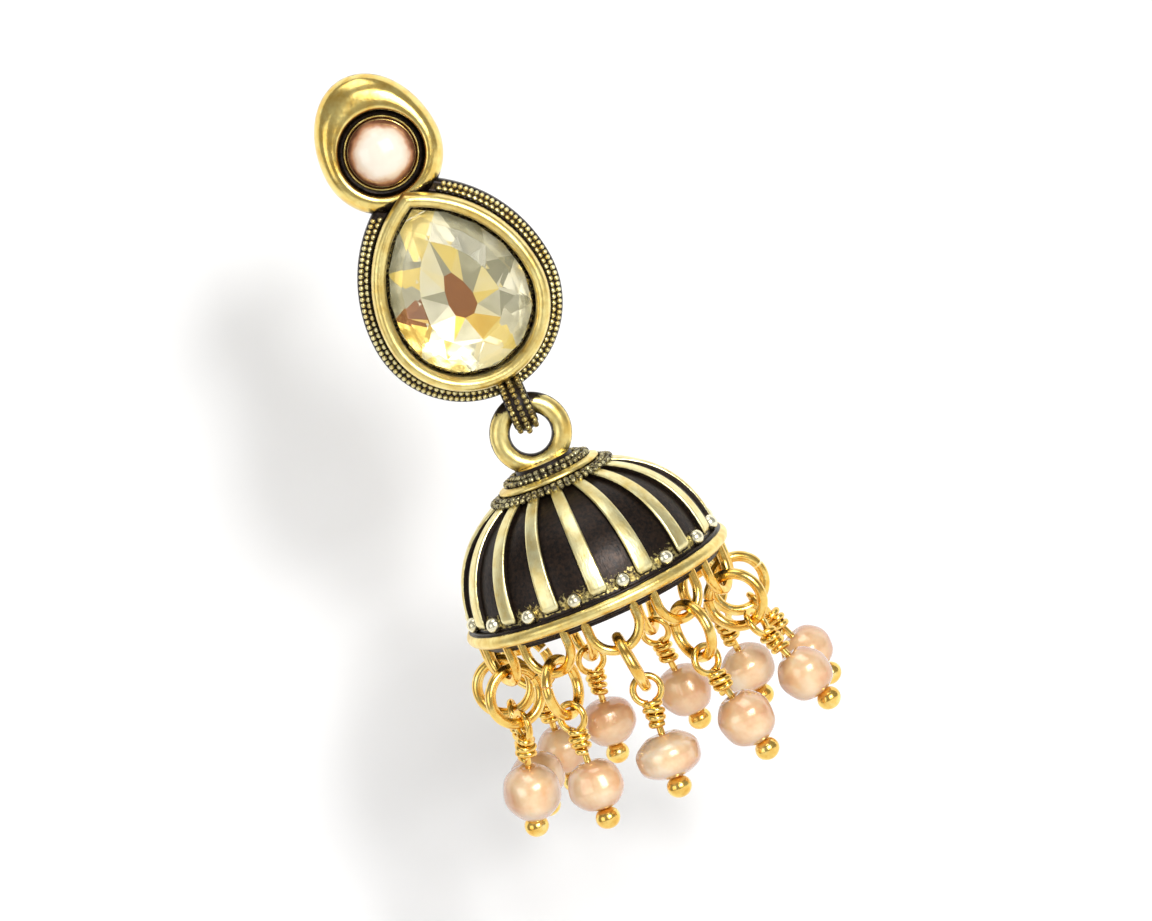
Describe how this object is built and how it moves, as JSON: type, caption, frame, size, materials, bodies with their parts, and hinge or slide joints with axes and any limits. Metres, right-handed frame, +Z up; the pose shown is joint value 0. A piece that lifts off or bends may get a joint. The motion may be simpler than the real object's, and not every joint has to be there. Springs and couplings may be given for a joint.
{
  "type": "jhumka earring",
  "caption": "Drop earring: a stud plate with a half pearl and a pear-shaped glass stone carries a fluted bell fringed with pearls.",
  "frame": {"origin": "where the ear post leaves the flat back of the stud plate", "axes": "+Z up along the hanging earring, +Y along the ear post towards the back of the ear, front towards -Y"},
  "size_m": [0.0213, 0.0223, 0.0447],
  "materials": {
    "antique_gold": "gold plated, satin and polished, with dark oxidised recesses",
    "wire_gold": "bright gold plated wire",
    "champagne_glass": "faceted glass with a foiled back",
    "half_pearl": "cream pearl lustre",
    "pearl": "peach-pink pearl lustre"
  },
  "bodies": {
    "plate": {"stud_setting": "antique_gold", "half_pearl": "half_pearl", "pear_stone": "champagne_glass"},
    "drop": {"bell": "antique_gold", "jump_ring_1": "wire_gold", "jump_ring_2": "wire_gold", "jump_ring_3": "wire_gold", "jump_ring_4": "wire_gold", "jump_ring_5": "wire_gold", "jump_ring_6": "wire_gold", "jump_ring_7": "wire_gold", "jump_ring_8": "wire_gold", "jump_ring_9": "wire_gold", "jump_ring_10": "wire_gold", "jump_ring_11": "wire_gold", "head_pin_1": "wire_gold", "head_pin_2": "wire_gold", "head_pin_3": "wire_gold", "head_pin_4": "wire_gold", "head_pin_5": "wire_gold", "head_pin_6": "wire_gold", "head_pin_7": "wire_gold", "head_pin_8": "wire_gold", "head_pin_9": "wire_gold", "head_pin_10": "wire_gold", "head_pin_11": "wire_gold", "pearl_1": "pearl", "pearl_2": "pearl", "pearl_3": "pearl", "pearl_4": "pearl", "pearl_5": "pearl", "pearl_6": "pearl", "pearl_7": "pearl", "pearl_8": "pearl", "pearl_9": "pearl", "pearl_10": "pearl", "pearl_11": "pearl"}
  },
  "joints": [
    {"name": "drop_swing", "type": "hinge", "parent": "plate", "child": "drop", "pos_m": [0.00143, -0.0017, -0.01639], "axis": [1, 0, 0], "range_deg": [-70, 70]}
  ]
}
